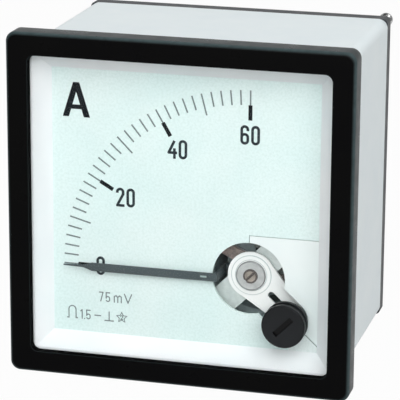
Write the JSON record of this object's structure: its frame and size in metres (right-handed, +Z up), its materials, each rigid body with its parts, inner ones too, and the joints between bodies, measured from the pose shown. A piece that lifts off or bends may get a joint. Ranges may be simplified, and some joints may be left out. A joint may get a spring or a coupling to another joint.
{
  "type": "analog panel meter",
  "caption": "Square analog panel meter: black bezel, clear window, white dial with a quarter-circle ampere scale, pointer, zero adjuster and rear terminals.",
  "frame": {"origin": "centre of the bezel's rear face, in the plane of the panel's front face", "axes": "+Y backwards into the panel, +X to the viewer's right, +Z up"},
  "size_m": [0.072, 0.065, 0.072],
  "materials": {
    "black_moulding": "satin moulded",
    "clear_pane": "clear polished",
    "white_moulding": "satin moulded",
    "case_grey": "satin moulded",
    "dark_cover": "fine texture",
    "nickel": "bright plated",
    "dial_white": "matt paint",
    "print_dark": "printed ink",
    "print_thin": "printed ink",
    "print_white": "printed ink",
    "adjuster_black": "satin moulded",
    "brass": "machined",
    "spring_bronze": "rolled strip",
    "bridge_alloy": "stamped sheet",
    "nut_steel": "turned",
    "bronze_screw": "turned, dulled",
    "jewel_red": "polished",
    "soft_iron": "plated",
    "magnet_alloy": "ground",
    "base_moulding": "satin moulded",
    "former_aluminium": "sheet",
    "winding_copper": "enamelled wire",
    "pointer_grey": "dark paint",
    "resistor_body": "lacquered",
    "wire_red": "insulated wire"
  },
  "bodies": {
    "housing": {"bezel": "black_moulding", "window": "clear_pane", "inner_frame": "white_moulding", "case": "case_grey", "rear_cover": "dark_cover", "cover_screws": "nickel", "fixing_studs": "nickel", "dial_plate": "dial_white", "corner_plate": "white_moulding", "scale_marks": "print_thin", "scale_bars": "print_dark", "scale_numbers": "print_dark", "unit_mark": "print_dark", "dial_symbols": "print_thin", "lever_washer": "brass", "front_bridge": "bridge_alloy", "bridge_screws": "brass", "bridge_pillars": "brass", "bridge_nut": "nut_steel", "front_jewel_screw": "bronze_screw", "rear_jewel_screw": "bronze_screw", "jewels": "jewel_red", "iron_yoke": "soft_iron", "core_magnet": "magnet_alloy", "core_spacers": "brass", "core_screws": "nickel", "movement_base": "base_moulding", "movement_pillars": "brass", "movement_screws": "brass", "spring_anchor": "brass", "rear_hairspring": "spring_bronze", "terminal_studs": "brass", "terminal_nuts": "brass", "terminal_washers": "brass", "terminal_tags": "nickel", "series_resistor": "resistor_body", "lead_wires": "wire_red", "polarity_marks": "print_white"},
    "adjuster": {"zero_adjuster": "adjuster_black", "adjuster_ring": "adjuster_black"},
    "lever": {"zero_lever": "white_moulding", "front_hairspring": "spring_bronze"},
    "coil": {"coil_former": "former_aluminium", "coil_winding": "winding_copper", "spindles": "nut_steel", "spring_collets": "brass", "pointer": "pointer_grey", "balance_cross": "pointer_grey", "balance_weights": "brass"}
  },
  "joints": [
    {"name": "zero_adjust", "type": "hinge", "parent": "housing", "child": "adjuster", "pos_m": [0.02205, 0, -0.02135], "axis": [0, 1, 0], "range_deg": [-45, 45]},
    {"name": "zero_shift", "type": "hinge", "parent": "housing", "child": "lever", "pos_m": [0.01355, 0, -0.01345], "axis": [0, 1, 0], "range_deg": [-4, 4]},
    {"name": "pointer_swing", "type": "hinge", "parent": "lever", "child": "coil", "pos_m": [0.01355, 0, -0.01345], "axis": [0, 1, 0], "range_deg": [-2, 93], "stiffness_Nm_per_rad": 0.00003}
  ],
  "couplings": [
    {"joint": "zero_shift", "follows": "zero_adjust", "ratio": -0.08408}
  ]
}
